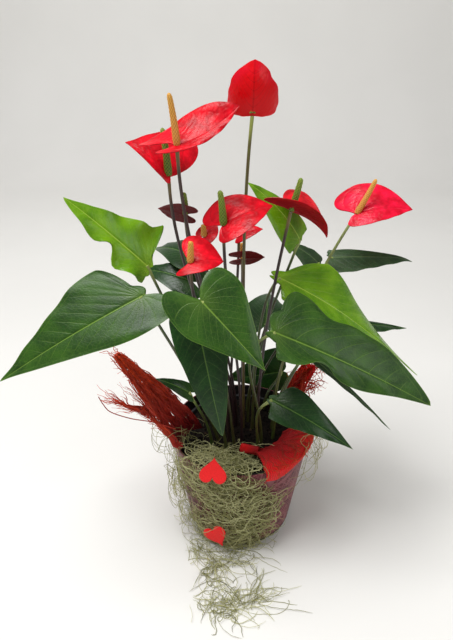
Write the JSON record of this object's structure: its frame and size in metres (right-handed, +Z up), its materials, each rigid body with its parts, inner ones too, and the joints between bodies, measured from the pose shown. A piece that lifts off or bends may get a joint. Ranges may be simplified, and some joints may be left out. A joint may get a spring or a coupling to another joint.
{
  "type": "potted anthurium",
  "caption": "Flowering anthurium with heart-shaped leaves and red spathes on thin stems, in a tapered pot dressed with sisal, felt hearts and Spanish moss.",
  "frame": {"origin": "centre of the underside of the pot, on the surface that it stands on", "axes": "+Z up along the pot's axis; -Y towards the plant's front, where the moss hangs over the rim and trails; +X to the right seen from the front"},
  "size_m": [0.3563, 0.2341, 0.4401],
  "materials": {
    "pot": "burgundy pot with fine pale fibre lines, satin gloss",
    "nursery_pot": "thin black grower's pot",
    "soil": null,
    "sisal": "stiff open sisal cloth, dyed red, frayed edges",
    "felt": "bright red pressed felt",
    "moss": "curly grey-green dried Spanish moss",
    "leaf_dark": "glossy dark green leaf with sunken veins and a pale midrib",
    "leaf_bright": "glossy young yellow-green leaf with sunken veins",
    "spathe": "waxy red spathe, quilted between its veins",
    "stalk": "smooth olive and reddish flower stalk",
    "spadix_green": "yellow-green spadix covered in tiny bumps",
    "spadix_orange": "orange-yellow spadix covered in tiny bumps"
  },
  "bodies": {
    "root": {"outer_pot": "pot", "nursery_pot": "nursery_pot", "potting_soil": "soil", "sisal_fan_left": "sisal", "sisal_fan_right": "sisal", "sisal_fold_front": "sisal", "heart_upper": "felt", "heart_lower": "felt", "moss_drape": "moss", "moss_trail": "moss", "leaf_upper_left": "leaf_bright", "leaf_left_large": "leaf_dark", "leaf_centre": "leaf_dark", "leaf_front_hanging": "leaf_dark", "leaf_low_left": "leaf_dark", "leaf_right_large": "leaf_dark", "leaf_upper_right": "leaf_bright", "leaf_young": "leaf_bright", "leaf_right_curled": "leaf_dark", "leaf_behind_right": "leaf_dark", "leaf_right_narrow": "leaf_dark", "leaf_back_centre": "leaf_dark", "leaf_low_right": "leaf_dark", "leaf_right_edge_on": "leaf_dark", "leaf_back_left": "leaf_dark", "leaf_back_left_low": "leaf_dark", "leaf_back_low": "leaf_dark", "spathe_top": "spathe", "stalk_top": "stalk", "spadix_top": "spadix_green", "spathe_upper_left": "spathe", "stalk_upper_left": "stalk", "spadix_upper_left": "spadix_orange", "spathe_upper_left_low": "spathe", "stalk_upper_left_low": "stalk", "spadix_upper_left_low": "spadix_green", "spathe_left_dark": "spathe", "stalk_left_dark": "stalk", "spadix_left_dark": "spadix_green", "spathe_centre": "spathe", "stalk_centre": "stalk", "spadix_centre": "spadix_green", "spathe_behind_left": "spathe", "stalk_behind_left": "stalk", "spadix_behind_left": "spadix_orange", "spathe_low_left": "spathe", "stalk_low_left": "stalk", "spadix_low_left": "spadix_orange", "spathe_behind_right": "spathe", "stalk_behind_right": "stalk", "spadix_behind_right": "spadix_orange", "spathe_low_dark": "spathe", "stalk_low_dark": "stalk", "spadix_low_dark": "spadix_orange", "spathe_right_folded": "spathe", "stalk_right_folded": "stalk", "spadix_right_folded": "spadix_green", "spathe_far_right": "spathe", "stalk_far_right": "stalk", "spadix_far_right": "spadix_orange"}
  },
  "joints": []
}
